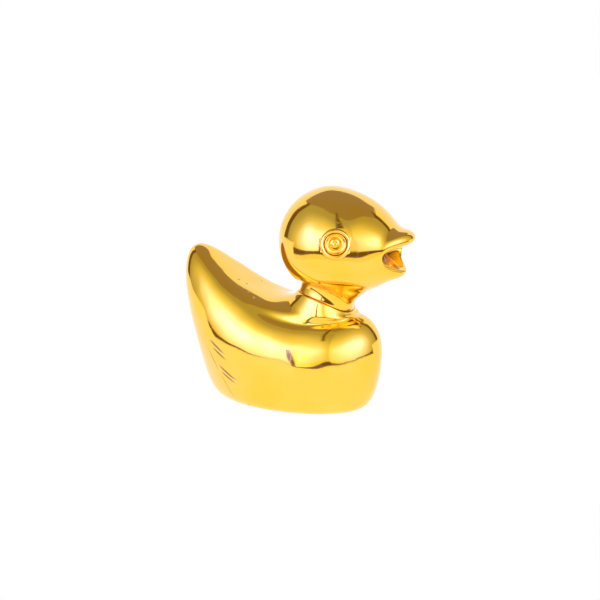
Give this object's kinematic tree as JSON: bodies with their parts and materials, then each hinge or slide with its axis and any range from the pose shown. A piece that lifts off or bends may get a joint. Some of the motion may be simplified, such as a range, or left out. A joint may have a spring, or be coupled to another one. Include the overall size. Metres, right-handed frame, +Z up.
{
  "type": "brass duck ornament",
  "caption": "Small polished brass duck ornament with a scooped back, ball head, open bill and ring eyes, standing on a felted base.",
  "frame": {"origin": "centre of the resting face on the underside of the felt, below the body", "axes": "+X towards the bill, +Y to the duck's left side, +Z up"},
  "size_m": [0.0756, 0.0366, 0.0685],
  "materials": {
    "body_brass": "mirror-polished cast yellow brass",
    "head_brass": "mirror-polished cast yellow brass",
    "eye_brass": "turned and polished brass",
    "pupil_brass": "polished brass, slightly deeper in tone",
    "plug_brass": "brass pin polished flush",
    "plate_brass": "rolled brass sheet, satin",
    "screw_brass": "turned brass screws",
    "fastener_steel": "zinc-plated steel",
    "felt": "dark green wool felt"
  },
  "bodies": {
    "root": {"body_shell": "body_brass", "head_shell": "head_brass", "right_eye_bezel": "eye_brass", "left_eye_bezel": "eye_brass", "right_eye_stud": "pupil_brass", "left_eye_stud": "pupil_brass", "core_plug": "plug_brass", "neck_stud": "fastener_steel", "neck_washer": "fastener_steel", "neck_nut": "fastener_steel", "base_plate": "plate_brass", "base_screws": "screw_brass", "base_felt": "felt"}
  },
  "joints": []
}
